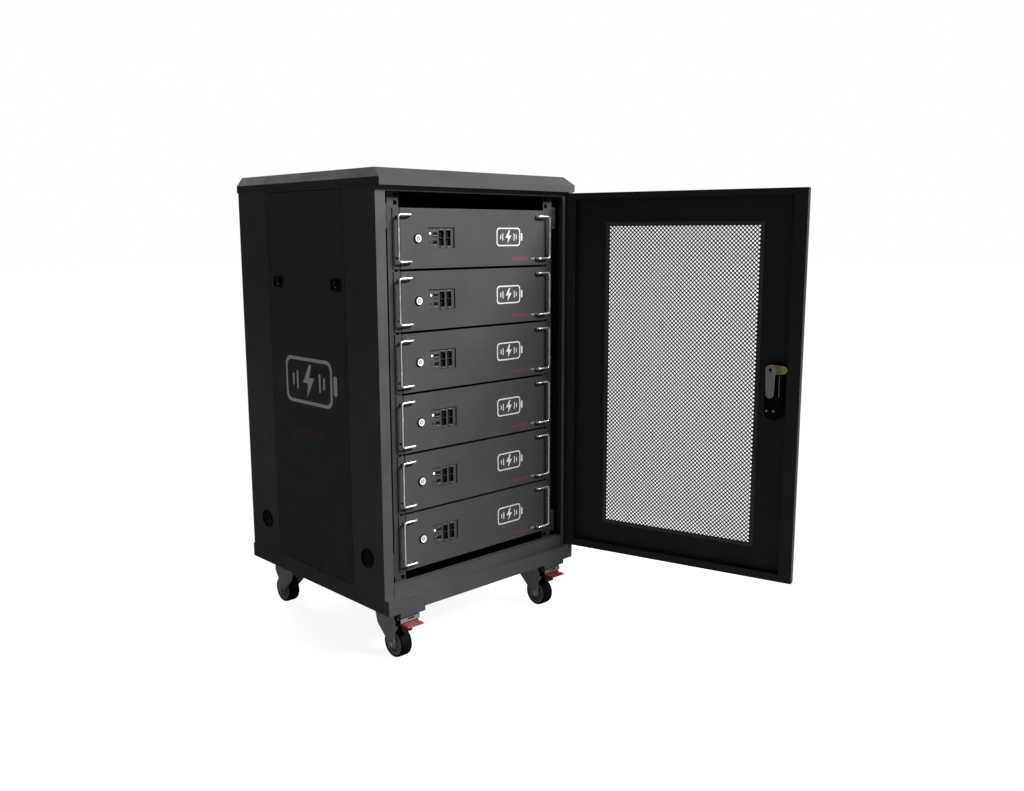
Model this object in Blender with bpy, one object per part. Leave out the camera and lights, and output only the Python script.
"""Battery rack: a 19-inch cabinet on casters with six slide-in battery modules.

Units are metres, +Z is up, the front faces -Y and the door hinges on the +X side.
The origin is the centre of the raised pad under the base.  The door is modelled in its hinge's
own frame, closed, and stands open by DOOR_OPEN_DEG.
"""

import math

import bmesh
import bpy
from mathutils import Matrix, Vector

# ---- driving dimensions ------------------------------------------------------------------
WIDTH = 0.600
DEPTH = 0.600
BASE_HEIGHT = 0.036
BODY_TOP = 0.949
ROOF_EDGE = 0.017
ROOF_CHAMFER_RISE = 0.021
ROOF_CHAMFER_RUN = 0.010
ROOF_FRONT_RUN = 0.030
FRONT_OVERHANG = 0.0156
REAR_OVERHANG = 0.0055
SHEET = 0.0015
HEAVY_SHEET = 0.002
GAP = 0.0003

POST_FLANGE = 0.026
POST_RETURN = 0.012
POST_SEAM_FOLD = 0.014
SIDE_PANEL_WIDTH = 0.323
SIDE_PANEL_Y = -0.0015
SIDE_PANEL_BOTTOM = 0.041
SEAM = 0.0015
SILL_TOP = 0.0645
SILL_DEPTH = 0.014
HEADER_BOTTOM = 0.938
BEAM_DEPTH = 0.0215
DEPTH_BEAM_TOP = 0.050
SIDE_RAIL_HEIGHT = 0.003
REAR_PANEL_DEPTH = 0.012
STOP_OVERLAP = 0.008
STOP_INSET = 0.040
VENT_ROWS = 6
VENT_PITCH = 0.024
VENT_LENGTH = 0.170
VENT_HEIGHT = 0.006

MODULE_COUNT = 6
MODULE_PITCH = 0.1377
MODULE_BOTTOM = 0.0829
PANEL_HEIGHT = 0.1322
RACK_WIDTH = 0.4826
MODULE_SETBACK = 0.034
CASE_WIDTH = 0.442
CASE_HEIGHT = 0.131
CASE_DEPTH = 0.440
CASE_SHEET = 0.0015
EAR_THICK = 0.002
PANEL_WIDTH = 0.4450
PANEL_THICK = 0.003
PANEL_PROUD = 0.0015
EAR_HOLES_Z = (0.0234, 0.1125)
EAR_HOLE_RADIUS = 0.0033

RAIL_OUTER = 0.2545
RAIL_INNER = 0.224
RAIL_DEPTH = 0.030
REAR_RAIL_Y = 0.200
LEDGE_REACH = 0.022
LEDGE_SKIRT = 0.020
RACK_UNIT = 0.04445
RACK_HOLE = 0.0095
RACK_HOLE_X = 0.23255
RACK_HOLE_TOP = 0.9302
RACK_HOLE_STEPS = (0, 0.015875, 0.03175)
LUG_OUTER = 0.268
LUGS_Z = ((0.074, 0.130), (0.859, 0.912))

HANDLE_ROD = 0.0028
HANDLE_STAND = 0.0092
HANDLE_GRIP_IN = 0.0070
HANDLE_LEG = 0.038
HANDLE_LOW = 0.0155
HANDLE_HIGH = 0.1172
HANDLE_BEND = 0.0062

BUTTON_X = 0.0665
BUTTON_Z = 0.0662
BUTTON_RADIUS = 0.0095
BUTTON_PROUD = 0.0035
BUTTON_STEM = 0.0085

PORT_LEFT = 0.0955
PORT_RIGHT = 0.1735
PORT_LOW = 0.0436
PORT_HIGH = 0.0901
PORT_DEEP = 0.010
PORT_WALL = 0.0015

CELL_SIDE_ROOM = 0.012
CELL_FRONT_ROOM = 0.050
CELL_HEIGHT = 0.118
BOARD_HEIGHT = 0.040

DOOR_OPEN_DEG = 105.0
DOOR_HEIGHT = 0.908
DOOR_BOTTOM = 0.0385
DOOR_THICK = 0.018
HINGE_INSET_X = 0.0065
HINGE_Y = -0.295
HINGE_EDGE = 0.004
DOOR_REACH = 0.589
LIP_HINGE = 0.020
LIP_LOCK = 0.030
LIP_TOP = 0.015
LIP_BOTTOM = 0.018
WINDOW_NEAR = 0.104
WINDOW_FAR = 0.481
WINDOW_LOW = 0.119
WINDOW_HIGH = 0.865
LOCK_REACH = 0.5225
LOCK_Z = 0.540
ESCUTCHEON_THICK = 0.008
ESCUTCHEON_RADIUS = 0.017
LOCK_BODY_RADIUS = 0.021
LOCK_BODY_SHIFT = 0.007
SPINDLE_RADIUS = 0.0060
CAM_THICK = 0.0022
CAM_STAND = 0.0036
CAM_ARM = 0.056
STRIKE_BELOW = 0.054
STRIKE_ABOVE = 0.015
NOSE_ARM = 0.026
LEVER_LENGTH = 0.120
LEVER_THICK = 0.009
LEVER_HEAD = 0.013
PIN_RADIUS = 0.0025

BASE_LEDGE = 0.045
PAD_X = 0.2325
PAD_Y = 0.240
PAD_SIZE_X = 0.071
PAD_SIZE_Y = 0.120
PAD_DROP = 0.010
SWIVEL_X = 0.235
SWIVEL_Y = 0.210
WHEEL_TRAIL = 0.034
WHEEL_RADIUS = 0.035
WHEEL_WIDTH = 0.032
GROUND_Z = -0.127
SWIVEL_HEAD_RADIUS = 0.027
SWIVEL_HEAD_HEIGHT = 0.014
FORK_INNER = 0.0175
FORK_PLATE = 0.003
FORK_TOP = -0.0165
BRIDGE_Z = (-0.0263, -0.0223)
AXLE_RADIUS = 0.0040
PEDAL_Y = -0.279
PEDAL_Z = -0.0335
PEDAL_TOE = -0.313
PEDAL_HALF_WIDTH = 0.024
CHEEK_X = (0.0245, 0.0275)

# ---- worked out from the driving dimensions --------------------------------------------------
HALF_W = WIDTH / 2
HALF_D = DEPTH / 2
CUT_PAST = 0.010
BODY_FRONT = -HALF_D + FRONT_OVERHANG
BODY_REAR = HALF_D - REAR_OVERHANG
ROOF_TOP = BODY_TOP + ROOF_EDGE + ROOF_CHAMFER_RISE
EAR_FRONT = -HALF_D + MODULE_SETBACK
PANEL_FRONT = EAR_FRONT - PANEL_PROUD
RAIL_FRONT = EAR_FRONT + EAR_THICK + GAP
CASE_FRONT = PANEL_FRONT + PANEL_THICK + GAP
WHEEL_Z = GROUND_Z + WHEEL_RADIUS
SIDE_PANEL_FRONT = SIDE_PANEL_Y - SIDE_PANEL_WIDTH / 2
SIDE_PANEL_REAR = SIDE_PANEL_Y + SIDE_PANEL_WIDTH / 2

POWDER_BLACK = (0.012, 0.012, 0.013)
POWDER_GREY = (0.075, 0.076, 0.079)
CHROME = (0.80, 0.80, 0.82)
WHITE_CAP = (0.75, 0.76, 0.78)
CELL_BLUE = (0.03, 0.09, 0.20)
ZINC = (0.23, 0.23, 0.24)
TYRE_BLACK = (0.012, 0.012, 0.012)
PEDAL_RED = (0.45, 0.02, 0.03)


# ---- helpers ---------------------------------------------------------------------------------
def clear_scene():
    for obj in list(bpy.data.objects):
        bpy.data.objects.remove(obj, do_unlink=True)


def material(name, colour, roughness, metallic):
    mat = bpy.data.materials.new(name)
    mat.use_nodes = True
    shader = mat.node_tree.nodes["Principled BSDF"]
    shader.inputs["Base Color"].default_value = (*colour, 1.0)
    shader.inputs["Roughness"].default_value = roughness
    shader.inputs["Metallic"].default_value = metallic
    return mat


def add_box(bm, xs, ys, zs):
    """A box between two x, two y and two z values, given in either order."""
    sizes = [abs(span[1] - span[0]) for span in (xs, ys, zs)]
    centre = [(span[0] + span[1]) / 2 for span in (xs, ys, zs)]
    frame = Matrix.Translation(centre) @ Matrix.Diagonal((*sizes, 1.0))
    bmesh.ops.create_cube(bm, size=1.0, matrix=frame)


def add_drum(bm, centre, axis, radius, length, sides=20):
    """A cylinder with its middle at centre and its axis along x, y or z."""
    turn = {"x": Matrix.Rotation(math.pi / 2, 4, "Y"),
            "y": Matrix.Rotation(math.pi / 2, 4, "X"),
            "z": Matrix.Identity(4)}[axis]
    bmesh.ops.create_cone(bm, cap_ends=True, cap_tris=False, segments=sides, radius1=radius,
                          radius2=radius, depth=length, matrix=Matrix.Translation(centre) @ turn)


def add_prism(bm, outline, low, high, axis):
    """An outline of (a, b) points, extruded from low to high along x, y or z."""
    place = {"x": lambda a, b, c: (c, a, b), "y": lambda a, b, c: (a, c, b),
             "z": lambda a, b, c: (a, b, c)}[axis]
    near = [bm.verts.new(place(a, b, low)) for a, b in outline]
    far = [bm.verts.new(place(a, b, high)) for a, b in outline]
    bm.faces.new(near)
    bm.faces.new(list(reversed(far)))
    for i in range(len(outline)):
        j = (i + 1) % len(outline)
        bm.faces.new((near[j], near[i], far[i], far[j]))


def rounded_link(start, end, start_radius, end_radius, steps=8):
    """The outline of a flat link: two round ends joined by straight sides."""
    heading = math.atan2(end[1] - start[1], end[0] - start[0])
    points = []
    for centre, radius, turn in ((end, end_radius, -math.pi / 2), (start, start_radius, math.pi / 2)):
        for i in range(steps + 1):
            angle = heading + turn + math.pi * i / steps
            points.append((centre[0] + radius * math.cos(angle), centre[1] + radius * math.sin(angle)))
    return points


def finish_object(name, bm, mat, origin=(0, 0, 0), parent=None, smooth=False):
    """Turns a bmesh into an object whose origin is moved onto its joint's axis."""
    bmesh.ops.recalc_face_normals(bm, faces=bm.faces)
    mesh = bpy.data.meshes.new(name)
    bm.to_mesh(mesh)
    bm.free()
    mesh.transform(Matrix.Translation(-Vector(origin)))
    if smooth:
        mesh.shade_smooth()
        mesh.set_sharp_from_angle(angle=math.radians(35))
    if mat:
        mesh.materials.append(mat)
    obj = bpy.data.objects.new(name, mesh)
    bpy.context.collection.objects.link(obj)
    obj.location = origin
    obj.parent = parent
    return obj


def build(name, mat, shapes, cuts=(), adds=(), origin=(0, 0, 0), parent=None, smooth=False):
    """One solid: shapes fill the mesh, adds are joined to it and cuts are taken away."""
    bm = bmesh.new()
    for shape in shapes:
        shape(bm)
    obj = finish_object(name, bm, mat, origin, parent, smooth)
    for operation, helpers in (("UNION", adds), ("DIFFERENCE", cuts)):
        for i, helper in enumerate(helpers):
            tool_bm = bmesh.new()
            helper(tool_bm)
            tool = finish_object(f"{name}_{operation.lower()}_{i}", tool_bm, None, parent=parent)
            tool.hide_render = True
            tool.display_type = "WIRE"
            modifier = obj.modifiers.new(operation.title(), "BOOLEAN")
            modifier.operation = operation
            modifier.object = tool
    return obj


def box(xs, ys, zs):
    return lambda bm: add_box(bm, xs, ys, zs)


def boxes(spans):
    """Several boxes that don't touch one another, as one shape."""
    return lambda bm: [add_box(bm, *span) for span in spans]


def drum(centre, axis, radius, length, sides=20):
    return lambda bm: add_drum(bm, centre, axis, radius, length, sides)


def prism(outline, low, high, axis):
    return lambda bm: add_prism(bm, outline, low, high, axis)


def both_sides(span):
    """A span in x and its mirror image."""
    return (span, (-span[1], -span[0]))


# ---- cabinet ---------------------------------------------------------------------------------
def base_frame(mat):
    """A tray with an in-turned top ledge, a raised pad below and a thick pad for each caster."""
    raised = 0.001
    inner = HALF_W - HEAVY_SHEET
    tray = box((-HALF_W, HALF_W), (-HALF_D, HALF_D), (raised, BASE_HEIGHT))
    centre_pad = box((-0.150, 0.150), (-0.150, 0.150), (0, raised * 2))
    caster_pads = boxes([((x - PAD_SIZE_X / 2, x + PAD_SIZE_X / 2), (y - PAD_SIZE_Y / 2, y + PAD_SIZE_Y / 2),
                          (-PAD_DROP, raised * 2)) for x in (-PAD_X, PAD_X) for y in (-PAD_Y, PAD_Y)])
    pin_x = HALF_W - HINGE_INSET_X
    lower_pin = drum((pin_x, HINGE_Y, BASE_HEIGHT), "z", PIN_RADIUS, 0.010, 12)
    hollow = box((-inner, inner), (-inner, inner), (raised + HEAVY_SHEET, BASE_HEIGHT - HEAVY_SHEET))
    mouth = box((BASE_LEDGE - HALF_W, HALF_W - BASE_LEDGE), (BASE_LEDGE - HALF_D, HALF_D - BASE_LEDGE),
                (BASE_HEIGHT / 2, BASE_HEIGHT + CUT_PAST))
    return build("base_frame", mat, [tray], cuts=[hollow, mouth], adds=[centre_pad, caster_pads, lower_pin])


def post_outline(side, y_face, y_seam):
    """A post's folded section: lip, front flange, side web and the fold beside the side panel."""
    inward = 1 if y_seam > y_face else -1
    sheet = inward * SHEET
    flange_in = HALF_W - POST_FLANGE
    fold_in = HALF_W - POST_SEAM_FOLD
    folds = [(flange_in, y_face), (HALF_W, y_face), (HALF_W, y_seam), (fold_in, y_seam),
             (fold_in, y_seam - sheet), (HALF_W - SHEET, y_seam - sheet), (HALF_W - SHEET, y_face + sheet),
             (flange_in + SHEET, y_face + sheet), (flange_in + SHEET, y_face + inward * POST_RETURN),
             (flange_in, y_face + inward * POST_RETURN)]
    return [(side * x, y) for x, y in folds]


def front_sill(low):
    """An open channel between the front posts, joined to their lips through a gusset at each end."""
    front, back = BODY_FRONT, BODY_FRONT + SILL_DEPTH
    channel = [(front, low), (back, low), (back, SILL_TOP), (back - SHEET, SILL_TOP),
               (back - SHEET, low + SHEET), (front + SHEET, low + SHEET), (front + SHEET, SILL_TOP),
               (front, SILL_TOP)]
    end = HALF_W - POST_FLANGE - SEAM
    gussets = [box(span, (front + 0.004, front + 0.010), (low + 0.0005, SILL_TOP - 0.003))
               for span in both_sides((end - 0.002, end + SEAM + 0.0005))]
    return [prism(channel, -end, end, "x")] + gussets


def strike_slot():
    """The opening in the left front post's lip that the turned cam arm passes through."""
    lip = POST_FLANGE - HALF_W
    return box((lip - SHEET - 0.0005, lip + 0.0005),
               (BODY_FRONT + SHEET - 0.0005, BODY_FRONT + POST_RETURN + CUT_PAST),
               (LOCK_Z - STRIKE_BELOW, LOCK_Z + STRIKE_ABOVE))


def cabinet_frame(mat):
    """Four folded posts, joined by sills, headers and depth beams."""
    low, high = BASE_HEIGHT + GAP, BODY_TOP - GAP
    rear_beam = (BODY_REAR - BEAM_DEPTH, BODY_REAR)
    spans = [((-HALF_W, HALF_W), rear_beam, (low, SILL_TOP)),
             ((-HALF_W, HALF_W), rear_beam, (HEADER_BOTTOM, high)),
             ((-HALF_W, HALF_W), (BODY_FRONT, BODY_FRONT + BEAM_DEPTH), (HEADER_BOTTOM, high))]
    stop_y = BODY_REAR - REAR_PANEL_DEPTH - 2 * SEAM
    for z_span in ((SILL_TOP - STOP_OVERLAP, SILL_TOP + STOP_OVERLAP),
                   (HEADER_BOTTOM - STOP_OVERLAP, HEADER_BOTTOM + STOP_OVERLAP)):
        spans.append(((STOP_INSET - HALF_W, HALF_W - STOP_INSET), (stop_y - SHEET, stop_y), z_span))
    for x_span in both_sides((RAIL_INNER + 0.003, RAIL_OUTER - 0.003)):
        beam_y = (BODY_FRONT + SILL_DEPTH - 0.001, BODY_REAR - 0.010)
        spans.append((x_span, beam_y, (low + 0.0004, DEPTH_BEAM_TOP)))
        spans.append((x_span, (BODY_FRONT + 0.010, BODY_REAR - 0.010), (HEADER_BOTTOM, high)))
    for z_span in ((low, SIDE_PANEL_BOTTOM), (BODY_TOP - SIDE_RAIL_HEIGHT, high)):
        for x_span in both_sides((HALF_W - POST_SEAM_FOLD, HALF_W)):
            spans.append((x_span, (SIDE_PANEL_FRONT - 0.004, SIDE_PANEL_REAR + 0.004), z_span))
    ends = ((BODY_FRONT, SIDE_PANEL_FRONT - SEAM), (BODY_REAR, SIDE_PANEL_REAR + SEAM))
    posts = [prism(post_outline(side, y_face, y_seam), low, high, "z")
             for y_face, y_seam in ends for side in (-1, 1)]
    beams = [box(*span) for span in spans]
    adds = posts[1:] + beams + front_sill(low)
    return build("cabinet_frame", mat, posts[:1], cuts=[strike_slot()], adds=adds)


def top_cover(mat):
    """A shallow cap with a sloped upper edge that leans back further at the front, open below."""
    def shell(bm):
        levels = [(0.0, 0.0, BODY_TOP), (0.0, 0.0, BODY_TOP + ROOF_EDGE),
                  (ROOF_CHAMFER_RUN, ROOF_FRONT_RUN, ROOF_TOP)]
        inner = [(run + HEAVY_SHEET, front_run + HEAVY_SHEET, z - HEAVY_SHEET * (z > BODY_TOP))
                 for run, front_run, z in levels]
        rings = []
        for run, front_run, z in list(reversed(inner)) + levels:
            x, rear, front = HALF_W - run, HALF_D - run, front_run - HALF_D
            corners = ((-x, front), (x, front), (x, rear), (-x, rear))
            rings.append([bm.verts.new((*corner, z)) for corner in corners])
        for lower, upper in zip(rings, rings[1:]):
            for i in range(4):
                j = (i + 1) % 4
                bm.faces.new((lower[i], lower[j], upper[j], upper[i]))
        bm.faces.new(rings[0])
        bm.faces.new(rings[-1])
    return build("top_cover", mat, [shell])


def side_panel(name, side, mat):
    """A lift-off pan with its four edges turned in."""
    fold = 0.011
    y_span = (SIDE_PANEL_FRONT, SIDE_PANEL_REAR)
    z_span = (SIDE_PANEL_BOTTOM + SEAM, BODY_TOP - SIDE_RAIL_HEIGHT - SEAM)
    pan = box((side * (HALF_W - fold), side * HALF_W), y_span, z_span)
    hollow = box((side * (HALF_W - fold - CUT_PAST), side * (HALF_W - SHEET)),
                 (y_span[0] + SHEET, y_span[1] - SHEET), (z_span[0] + SHEET, z_span[1] - SHEET))
    return build(name, mat, [pan], cuts=[hollow])


def rear_panel(mat):
    """A pan between the rear posts, with two fields of vent slots."""
    fold = REAR_PANEL_DEPTH
    x_half = HALF_W - POST_FLANGE - SEAM
    z_span = (SILL_TOP + SEAM, HEADER_BOTTOM - SEAM)
    pan = box((-x_half, x_half), (BODY_REAR - fold, BODY_REAR), z_span)
    hollow = box((SHEET - x_half, x_half - SHEET), (BODY_REAR - fold - CUT_PAST, BODY_REAR - SHEET),
                 (z_span[0] + SHEET, z_span[1] - SHEET))
    slots = []
    slot_y = (BODY_REAR - fold / 2, BODY_REAR + CUT_PAST)
    for field_z in (0.250, 0.750):
        for row in range(VENT_ROWS):
            z = field_z + (row - (VENT_ROWS - 1) / 2) * VENT_PITCH
            slot_z = (z - VENT_HEIGHT / 2, z + VENT_HEIGHT / 2)
            slots += [((x - VENT_LENGTH / 2, x + VENT_LENGTH / 2), slot_y, slot_z) for x in (-0.120, 0.120)]
    return build("rear_panel", mat, [pan], cuts=[hollow, boxes(slots)])


def rail_upright(y_face, inward, z_span, side):
    """An L-shaped upright whose wide leg faces the front or the rear."""
    back, thick = inward * RAIL_DEPTH, inward * HEAVY_SHEET
    folds = [(RAIL_INNER, y_face), (RAIL_OUTER, y_face), (RAIL_OUTER, y_face + back),
             (RAIL_OUTER - HEAVY_SHEET, y_face + back), (RAIL_OUTER - HEAVY_SHEET, y_face + thick),
             (RAIL_INNER, y_face + thick)]
    return prism([(side * x, y) for x, y in folds], *z_span, "z")


def rail_holes(z_span):
    """Square holes down the front upright, three to a rack unit."""
    spans = []
    for unit in range(int((z_span[1] - z_span[0]) / RACK_UNIT) + 1):
        for step in RACK_HOLE_STEPS:
            z = RACK_HOLE_TOP - unit * RACK_UNIT - step
            if z > z_span[0] + RACK_HOLE:
                spans.append(((RACK_HOLE_X - RACK_HOLE / 2, RACK_HOLE_X + RACK_HOLE / 2),
                              (RAIL_FRONT - HEAVY_SHEET, RAIL_FRONT + HEAVY_SHEET * 2),
                              (z - RACK_HOLE / 2, z + RACK_HOLE / 2)))
    return spans


def mirrored(spans, side):
    """The same spans on the rail's own side."""
    return [(tuple(side * x for x in span[0]), span[1], span[2]) for span in spans]


def rack_rail(name, side, mat):
    """A front and a rear upright with mounting lugs, joined by one ledge below each module."""
    z_span = (DEPTH_BEAM_TOP + GAP, HEADER_BOTTOM - GAP)
    front = rail_upright(RAIL_FRONT, 1, z_span, side)
    rear = rail_upright(REAR_RAIL_Y, -1, z_span, side)
    joined = [((RAIL_OUTER - 0.0005, LUG_OUTER), (RAIL_FRONT + 0.0005, RAIL_FRONT + 0.0025), lug)
              for lug in LUGS_Z]
    for i in range(MODULE_COUNT):
        top = MODULE_BOTTOM + i * MODULE_PITCH - GAP * 2
        joined.append(((RAIL_INNER - LEDGE_REACH, RAIL_OUTER - 0.0005),
                       (RAIL_FRONT + 0.0005, REAR_RAIL_Y - 0.0005), (top - HEAVY_SHEET, top)))
        joined.append(((RAIL_OUTER - HEAVY_SHEET + 0.0003, RAIL_OUTER - 0.0003),
                       (RAIL_FRONT + 0.010, REAR_RAIL_Y - 0.010), (top - LEDGE_SKIRT, top - 0.0003)))
    adds = [rear] + [box(*span) for span in mirrored(joined, side)]
    return build(name, mat, [front], adds=adds, cuts=[boxes(mirrored(rail_holes(z_span), side))])


# ---- battery module --------------------------------------------------------------------------
def module_case(name, bottom, mat):
    """A steel box, open at the front, with a drilled mounting ear on each side."""
    half = CASE_WIDTH / 2
    z_span = (bottom, bottom + CASE_HEIGHT)
    rear = CASE_FRONT + CASE_DEPTH
    body = box((-half, half), (CASE_FRONT, rear), z_span)
    hollow = box((CASE_SHEET - half, half - CASE_SHEET), (CASE_FRONT - CUT_PAST, rear - CASE_SHEET),
                 (z_span[0] + CASE_SHEET, z_span[1] - CASE_SHEET))
    ear_in = PANEL_WIDTH / 2 + GAP
    ears = [box(span, (EAR_FRONT, EAR_FRONT + EAR_THICK), (bottom, bottom + PANEL_HEIGHT))
            for span in both_sides((ear_in, RACK_WIDTH / 2))]
    tabs = [box(span, (EAR_FRONT + EAR_THICK - 0.0002, EAR_FRONT + 0.020), (bottom + 0.004, bottom + 0.127))
            for span in both_sides((half - 0.0005, half + CASE_SHEET + 0.0008))]

    def drillings(bm):
        for x in (-RACK_HOLE_X, RACK_HOLE_X):
            for z in EAR_HOLES_Z:
                add_drum(bm, (x, EAR_FRONT, bottom + z), "y", EAR_HOLE_RADIUS, 0.012, 10)
    return build(name, mat, [body], adds=ears + tabs, cuts=[hollow, drillings])


def module_front_panel(name, bottom, mat):
    """The main face, with a tub for the ports and a round hole for the button."""
    left = -RACK_WIDTH / 2
    z_span = (bottom, bottom + PANEL_HEIGHT)
    plate = box((-PANEL_WIDTH / 2, PANEL_WIDTH / 2), (PANEL_FRONT, PANEL_FRONT + PANEL_THICK), z_span)
    port_x = (left + PORT_LEFT, left + PORT_RIGHT)
    port_z = (bottom + PORT_LOW, bottom + PORT_HIGH)
    tub = box((port_x[0] - PORT_WALL, port_x[1] + PORT_WALL),
              (PANEL_FRONT + 0.001, PANEL_FRONT + PORT_DEEP + PORT_WALL),
              (port_z[0] - PORT_WALL, port_z[1] + PORT_WALL))
    recess = box(port_x, (PANEL_FRONT - CUT_PAST, PANEL_FRONT + PORT_DEEP), port_z)
    hole = drum((left + BUTTON_X, PANEL_FRONT, bottom + BUTTON_Z), "y", BUTTON_RADIUS + GAP, 0.020, 24)
    return build(name, mat, [plate], adds=[tub], cuts=[recess, hole])


def module_handle(name, side, bottom, mat):
    """A bent rod: two legs leave the panel, turn outwards and meet in an upright grip."""
    start = RACK_WIDTH / 2 - HANDLE_GRIP_IN - HANDLE_LEG
    grip = RACK_WIDTH / 2 - HANDLE_GRIP_IN
    front = PANEL_FRONT - HANDLE_STAND
    low, high = bottom + HANDLE_LOW, bottom + HANDLE_HIGH
    corners = [(start, PANEL_FRONT - GAP, low), (start, front, low), (grip, front, low),
               (grip, front, high), (start, front, high), (start, PANEL_FRONT - GAP, high)]
    path = rounded_path([Vector((side * x, y, z)) for x, y, z in corners], HANDLE_BEND, 2)
    return build(name, mat, [lambda bm: sweep_rod(bm, path, HANDLE_ROD, 6)], smooth=True)


def rounded_path(corners, radius, steps):
    """Replaces each inner corner of a square-cornered path with a quarter bend."""
    path = [corners[0]]
    for before, corner, after in zip(corners, corners[1:], corners[2:]):
        incoming = (corner - before).normalized()
        outgoing = (after - corner).normalized()
        centre = corner - incoming * radius + outgoing * radius
        for i in range(steps + 1):
            angle = math.pi / 2 * i / steps
            path.append(centre - outgoing * radius * math.cos(angle) + incoming * radius * math.sin(angle))
    path.append(corners[-1])
    return path


def sweep_rod(bm, path, radius, sides):
    """A round rod along a path, its cross-section carried without twist."""
    heading = (path[1] - path[0]).normalized()
    across = heading.orthogonal().normalized()
    rings = []
    for i, point in enumerate(path):
        before = path[max(i - 1, 0)]
        after = path[min(i + 1, len(path) - 1)]
        tangent = (after - before).normalized()
        across = (across - tangent * across.dot(tangent)).normalized()
        binormal = tangent.cross(across)
        rings.append([bm.verts.new(point + across * radius * math.cos(2 * math.pi * k / sides)
                                   + binormal * radius * math.sin(2 * math.pi * k / sides))
                      for k in range(sides)])
    for first, second in zip(rings, rings[1:]):
        for k in range(sides):
            j = (k + 1) % sides
            bm.faces.new((first[k], first[j], second[j], second[k]))
    bm.faces.new(list(reversed(rings[0])))
    bm.faces.new(rings[-1])


def power_button(name, bottom, mat):
    """A round push cap on a stem; its origin is at the centre of its travel axis."""
    centre = (-RACK_WIDTH / 2 + BUTTON_X, PANEL_FRONT, bottom + BUTTON_Z)

    def cap(bm):
        length = BUTTON_PROUD + BUTTON_STEM
        middle = (centre[0], centre[1] + (BUTTON_STEM - BUTTON_PROUD) / 2, centre[2])
        add_drum(bm, middle, "y", BUTTON_RADIUS, length, 20)
    return build(name, mat, [cap], origin=centre, smooth=True)


def cell_pack(name, bottom, mat):
    """The block of cells and its end plates, with the control board's step at the front."""
    half = CASE_WIDTH / 2 - CELL_SIDE_ROOM
    front = CASE_FRONT + CELL_FRONT_ROOM
    rear = CASE_FRONT + CASE_DEPTH - CELL_SIDE_ROOM
    cells = box((-half, half), (front, rear), (bottom + 0.003, bottom + CELL_HEIGHT))
    board = box((-half + 0.020, half - 0.020), (front - 0.028, front + 0.002),
                (bottom + 0.004, bottom + BOARD_HEIGHT))
    return build(name, mat, [cells], adds=[board])


# ---- door ------------------------------------------------------------------------------------
# The door's own frame has its origin on the hinge axis at z = 0; the closed door runs to -X.
DOOR_OUTER_Y = -DOOR_THICK / 2
DOOR_INNER_Y = DOOR_THICK / 2


def door_frame(mat, hinge):
    """A pan with a window, turned-in edges and inner lips, and a cut-out for the lock."""
    x_span = (-DOOR_REACH, HINGE_EDGE)
    z_span = (DOOR_BOTTOM, DOOR_BOTTOM + DOOR_HEIGHT)
    slab = box(x_span, (DOOR_OUTER_Y, DOOR_INNER_Y), z_span)
    hollow = box((x_span[0] + SHEET, x_span[1] - SHEET), (DOOR_OUTER_Y + SHEET, DOOR_INNER_Y - SHEET),
                 (z_span[0] + SHEET, z_span[1] - SHEET))
    mouth = box((x_span[0] + LIP_LOCK, x_span[1] - LIP_HINGE), (0, DOOR_INNER_Y + CUT_PAST),
                (z_span[0] + LIP_BOTTOM, z_span[1] - LIP_TOP))
    window = box((-WINDOW_FAR, -WINDOW_NEAR), (DOOR_OUTER_Y - CUT_PAST, 0), (WINDOW_LOW, WINDOW_HIGH))
    slot = box((-LOCK_REACH - 0.012, -LOCK_REACH + 0.012), (DOOR_OUTER_Y - CUT_PAST, 0),
               (LOCK_Z - 0.112, LOCK_Z + 0.012))
    wells = [drum((0, 0, z), "z", PIN_RADIUS + 0.0005, 0.010, 12) for z in z_span]
    return build("door_frame", mat, [slab], cuts=[hollow, mouth, window, slot] + wells, parent=hinge)


def door_mesh(mat, hinge):
    """The perforated sheet behind the window, plain here."""
    overlap = 0.010
    y = DOOR_OUTER_Y + SHEET + GAP
    sheet = box((-WINDOW_FAR - overlap, -WINDOW_NEAR + overlap), (y, y + 0.0012),
                (WINDOW_LOW - overlap, WINDOW_HIGH + overlap))
    return build("door_mesh", mat, [sheet], parent=hinge)


def lock_housing(mat, hinge):
    """The outer escutcheon and the inner body, joined through the door's cut-out."""
    outer = prism(rounded_link((-LOCK_REACH, LOCK_Z - 0.125), (-LOCK_REACH, LOCK_Z + 0.010),
                               ESCUTCHEON_RADIUS, ESCUTCHEON_RADIUS),
                  DOOR_OUTER_Y - ESCUTCHEON_THICK, DOOR_OUTER_Y - GAP, "y")
    neck = box((-LOCK_REACH - 0.011, -LOCK_REACH + 0.011), (DOOR_OUTER_Y - ESCUTCHEON_THICK / 2, 0),
               (LOCK_Z - 0.110, LOCK_Z + 0.010))
    body_x = -LOCK_REACH - LOCK_BODY_SHIFT
    inner = prism(rounded_link((body_x, LOCK_Z - 0.098), (body_x, LOCK_Z - 0.006),
                               LOCK_BODY_RADIUS, LOCK_BODY_RADIUS),
                  DOOR_OUTER_Y + SHEET + GAP, DOOR_INNER_Y - 0.003, "y")
    bore = drum((-LOCK_REACH, 0, LOCK_Z), "y", SPINDLE_RADIUS + 0.0005, 0.080, 16)
    return build("lock_housing", mat, [outer], adds=[neck, inner], cuts=[bore], parent=hinge)


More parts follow.
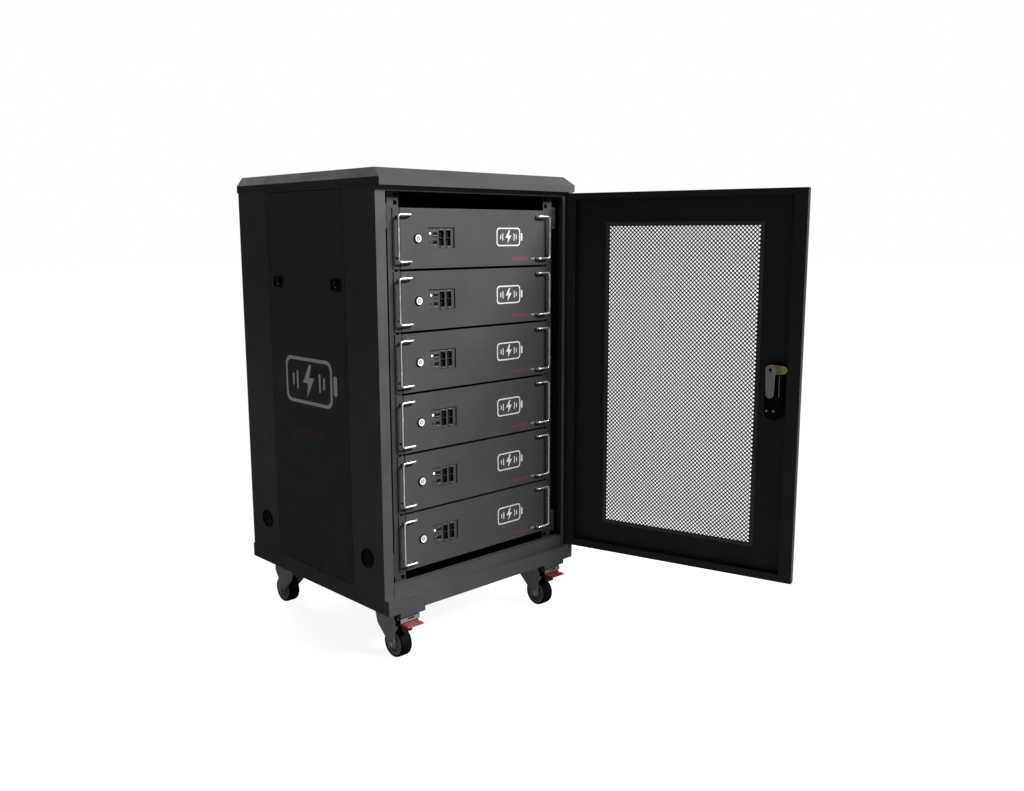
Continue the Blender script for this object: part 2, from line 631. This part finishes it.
def lock_cam(mat, hinge):
    """The spindle with its hanging cam and its short side nose; it turns about the door's normal."""
    pivot = (-LOCK_REACH, LOCK_Z)
    plate_y = DOOR_INNER_Y + CAM_STAND
    back, front = DOOR_OUTER_Y - ESCUTCHEON_THICK, plate_y + CAM_THICK - GAP
    spindle = drum((pivot[0], (back + front) / 2, pivot[1]), "y", SPINDLE_RADIUS, front - back, 16)
    arm = prism(rounded_link(pivot, (pivot[0], pivot[1] - CAM_ARM), 0.013, 0.010),
                plate_y, plate_y + CAM_THICK, "y")
    nose = prism(rounded_link(pivot, (pivot[0] - NOSE_ARM, pivot[1]), 0.0115, 0.0110),
                 DOOR_INNER_Y + 0.0004, plate_y + 0.0008, "y")
    return build("lock_cam", mat, [arm], adds=[nose, spindle], origin=(pivot[0], 0, pivot[1]), parent=hinge)


def lock_lever(mat, hinge):
    """The outer swing lever, lying over the escutcheon; it lifts about its upper inner edge."""
    y = DOOR_OUTER_Y - ESCUTCHEON_THICK - GAP
    tip = (-LOCK_REACH, LOCK_Z - LEVER_LENGTH)
    blade = prism(rounded_link(tip, (-LOCK_REACH, LOCK_Z), 0.011, LEVER_HEAD), y - LEVER_THICK, y, "y")
    return build("lock_lever", mat, [blade], origin=(-LOCK_REACH, y, LOCK_Z + LEVER_HEAD), parent=hinge)


def upper_hinge_pin(mat):
    """The pin that drops from the roof's overhang into the door."""
    x = HALF_W - HINGE_INSET_X
    door_top = DOOR_BOTTOM + DOOR_HEIGHT
    stem = drum((x, HINGE_Y, door_top + 0.0005), "z", PIN_RADIUS, 0.0035, 12)
    return build("upper_hinge_pin", mat, [stem], smooth=True)


# ---- casters ---------------------------------------------------------------------------------
def fork_outline(y, end):
    """A fork plate's (y, z) outline: wide under the base, narrow and round at the axle."""
    reach = WHEEL_TRAIL
    points = [(-0.030, FORK_TOP), (0.060, FORK_TOP), (0.060, -0.044), (reach + 0.013, -0.062),
              (reach + 0.012, WHEEL_Z), (reach + 0.0085, WHEEL_Z - 0.0085), (reach, WHEEL_Z - 0.012),
              (reach - 0.0085, WHEEL_Z - 0.0085), (reach - 0.012, WHEEL_Z), (0.010, -0.080), (-0.018, -0.055)]
    return [(y + end * forward, z) for forward, z in points]


def brake_mount(x, y):
    """The arm, yoke and two cheeks that carry a front caster's pedal."""
    yoke_y = (PEDAL_Y - 0.012, PEDAL_Y + 0.012)
    arm = box((x - 0.016, x + 0.016), (yoke_y[0] + 0.001, y - 0.020), (BRIDGE_Z[0], FORK_TOP - 0.001))
    yoke = box((x - CHEEK_X[1], x + CHEEK_X[1]), yoke_y, (BRIDGE_Z[0] - 0.001, FORK_TOP))
    cheeks = [box((x + span[0], x + span[1]), (PEDAL_Y - 0.006, PEDAL_Y + 0.006),
                  (PEDAL_Z - 0.004, BRIDGE_Z[0] + 0.001)) for span in both_sides(CHEEK_X)]
    return [arm, yoke] + cheeks


def caster_fork(name, side, end, mat, braked):
    """Swivel head, bridge, two plates and the axle; end is -1 at the front and 1 at the rear."""
    x, y = side * SWIVEL_X, end * SWIVEL_Y
    top = -PAD_DROP - GAP
    half = FORK_INNER + FORK_PLATE
    head = drum((x, y, top - SWIVEL_HEAD_HEIGHT / 2), "z", SWIVEL_HEAD_RADIUS, SWIVEL_HEAD_HEIGHT, 24)
    bridge = box((x - half + 0.0005, x + half - 0.0005), (y - 0.024, y + 0.024), BRIDGE_Z)
    outline = fork_outline(y, end)
    plates = [prism(outline, x + low, x + high, "x") for low, high in both_sides((FORK_INNER, half))]
    axle = drum((x, y + end * WHEEL_TRAIL, WHEEL_Z), "x", AXLE_RADIUS, 2 * half + 0.006, 12)
    adds = [bridge] + plates + [axle] + (brake_mount(x, y) if braked else [])
    return build(name, mat, [head], adds=adds, origin=(x, y, top))


def caster_wheel(name, side, end, mat):
    """A rounded tyre on a dished hub with a plain bore, turned about the axle."""
    half = WHEEL_WIDTH / 2
    bore = AXLE_RADIUS + 0.0004
    rim = WHEEL_RADIUS - 0.008
    profile = [(bore, -half + 0.001), (0.010, -half + 0.001), (0.012, -half + 0.005),
               (rim, -half + 0.001), (WHEEL_RADIUS - 0.003, -half), (WHEEL_RADIUS, -half + 0.005)]
    profile += [(radius, -x) for radius, x in reversed(profile)]
    sides = 18

    def turned(bm):
        rings = []
        for k in range(sides):
            angle = 2 * math.pi * k / sides
            rings.append([bm.verts.new((x, radius * math.cos(angle), radius * math.sin(angle)))
                          for radius, x in profile])
        for k in range(sides):
            here, there = rings[k], rings[(k + 1) % sides]
            for i in range(len(profile)):
                j = (i + 1) % len(profile)
                bm.faces.new((here[i], here[j], there[j], there[i]))
    wheel = build(name, mat, [turned], smooth=True)
    wheel.location = (side * SWIVEL_X, end * (SWIVEL_Y + WHEEL_TRAIL), WHEEL_Z)
    return wheel


def brake_pedal(name, side, mat):
    """A foot plate that tips about a cross axis ahead of the wheel."""
    x = side * SWIVEL_X
    heel = PEDAL_Y + 0.008
    outline = [(heel, PEDAL_Z + 0.004), (PEDAL_TOE + 0.004, PEDAL_Z + 0.0035), (PEDAL_TOE, PEDAL_Z + 0.001),
               (PEDAL_TOE + 0.002, PEDAL_Z - 0.003), (heel - 0.002, PEDAL_Z - 0.003)]
    plate = prism(outline, x - PEDAL_HALF_WIDTH, x + PEDAL_HALF_WIDTH, "x")
    return build(name, mat, [plate], origin=(x, PEDAL_Y, PEDAL_Z))


# ---- assembly --------------------------------------------------------------------------------
def build_cabinet():
    shell = material("cabinet_powder", POWDER_BLACK, 0.55, 0.0)
    frame = material("frame_powder", POWDER_GREY, 0.50, 0.0)
    base_frame(frame)
    cabinet_frame(frame)
    top_cover(frame)
    side_panel("side_panel_left", -1, shell)
    side_panel("side_panel_right", 1, shell)
    rear_panel(shell)
    rack_rail("rack_rail_left", -1, material("rail_powder", POWDER_BLACK, 0.50, 0.0))
    rack_rail("rack_rail_right", 1, bpy.data.materials["rail_powder"])


def build_modules():
    case = material("module_case_powder", POWDER_BLACK, 0.50, 0.0)
    face = material("module_face_powder", POWDER_GREY, 0.45, 0.0)
    chrome = material("handle_chrome", CHROME, 0.12, 1.0)
    cap = material("button_cap", WHITE_CAP, 0.30, 0.2)
    cells = material("cell_wrap", CELL_BLUE, 0.45, 0.0)
    for number in range(1, MODULE_COUNT + 1):
        bottom = MODULE_BOTTOM + (MODULE_COUNT - number) * MODULE_PITCH
        module_case(f"module_{number}_case", bottom, case)
        module_front_panel(f"module_{number}_front_panel", bottom, face)
        module_handle(f"module_{number}_handle_left", -1, bottom, chrome)
        module_handle(f"module_{number}_handle_right", 1, bottom, chrome)
        power_button(f"module_{number}_power_button", bottom, cap)
        cell_pack(f"module_{number}_cell_pack", bottom, cells)


def build_door():
    hinge = bpy.data.objects.new("door_hinge", None)
    bpy.context.collection.objects.link(hinge)
    hinge.location = (HALF_W - HINGE_INSET_X, HINGE_Y, 0)
    hinge.rotation_euler = (0, 0, math.radians(DOOR_OPEN_DEG))
    powder = material("door_powder", POWDER_BLACK, 0.50, 0.0)
    zinc = material("lock_zinc", ZINC, 0.35, 1.0)
    door_frame(powder, hinge)
    door_mesh(material("mesh_powder", POWDER_BLACK, 0.55, 0.0), hinge)
    lock_housing(material("lock_black", POWDER_BLACK, 0.35, 0.0), hinge)
    lock_cam(zinc, hinge)
    lock_lever(material("lever_black", POWDER_BLACK, 0.30, 0.0), hinge)
    upper_hinge_pin(zinc)


def build_casters():
    steel = material("caster_steel", ZINC, 0.45, 0.6)
    tyre = material("caster_tyre", TYRE_BLACK, 0.60, 0.0)
    red = material("pedal_red", PEDAL_RED, 0.40, 0.0)
    for row, end in (("front", -1), ("rear", 1)):
        for hand, side in (("left", -1), ("right", 1)):
            label = f"{row}_{hand}"
            caster_fork(f"caster_fork_{label}", side, end, steel, braked=end < 0)
            caster_wheel(f"caster_wheel_{label}", side, end, tyre)
            if end < 0:
                brake_pedal(f"brake_pedal_{hand}", side, red)


clear_scene()
build_cabinet()
build_modules()
build_door()
build_casters()
